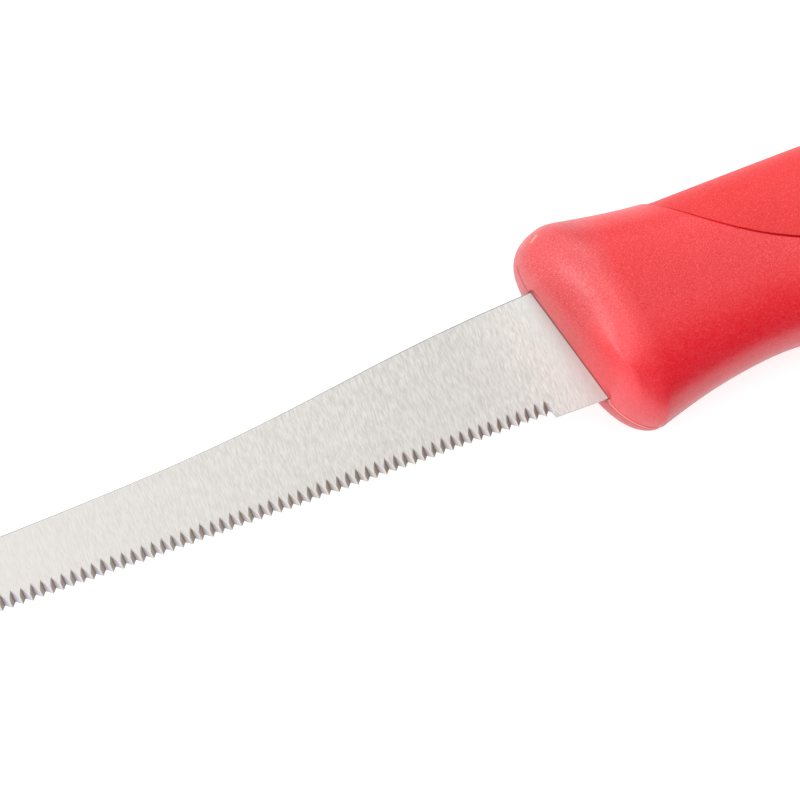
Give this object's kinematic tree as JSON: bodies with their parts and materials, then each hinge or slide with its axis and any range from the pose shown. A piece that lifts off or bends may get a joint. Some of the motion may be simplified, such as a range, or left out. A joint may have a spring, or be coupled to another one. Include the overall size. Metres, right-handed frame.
{
  "type": "serrated tomato knife",
  "caption": "Narrow serrated tomato knife: flat steel blade ground in fine vee flutes, flared red moulded handle with a soft inlay along its back, lying on its side.",
  "frame": {"origin": "middle of the knife's outline, on the surface that it lies on", "axes": "+X from the point to the butt, +Y from the cutting edge to the back, +Z out of the fluted face of the blade"},
  "size_m": [0.2286, 0.0274, 0.018],
  "materials": {
    "steel": "satin, brushed across the blade",
    "hard_plastic": "fine moulded grain",
    "soft_plastic": "fine matt grain"
  },
  "bodies": {
    "root": {"blade": "steel", "handle_body": "hard_plastic", "soft_grip": "soft_plastic"}
  },
  "joints": []
}
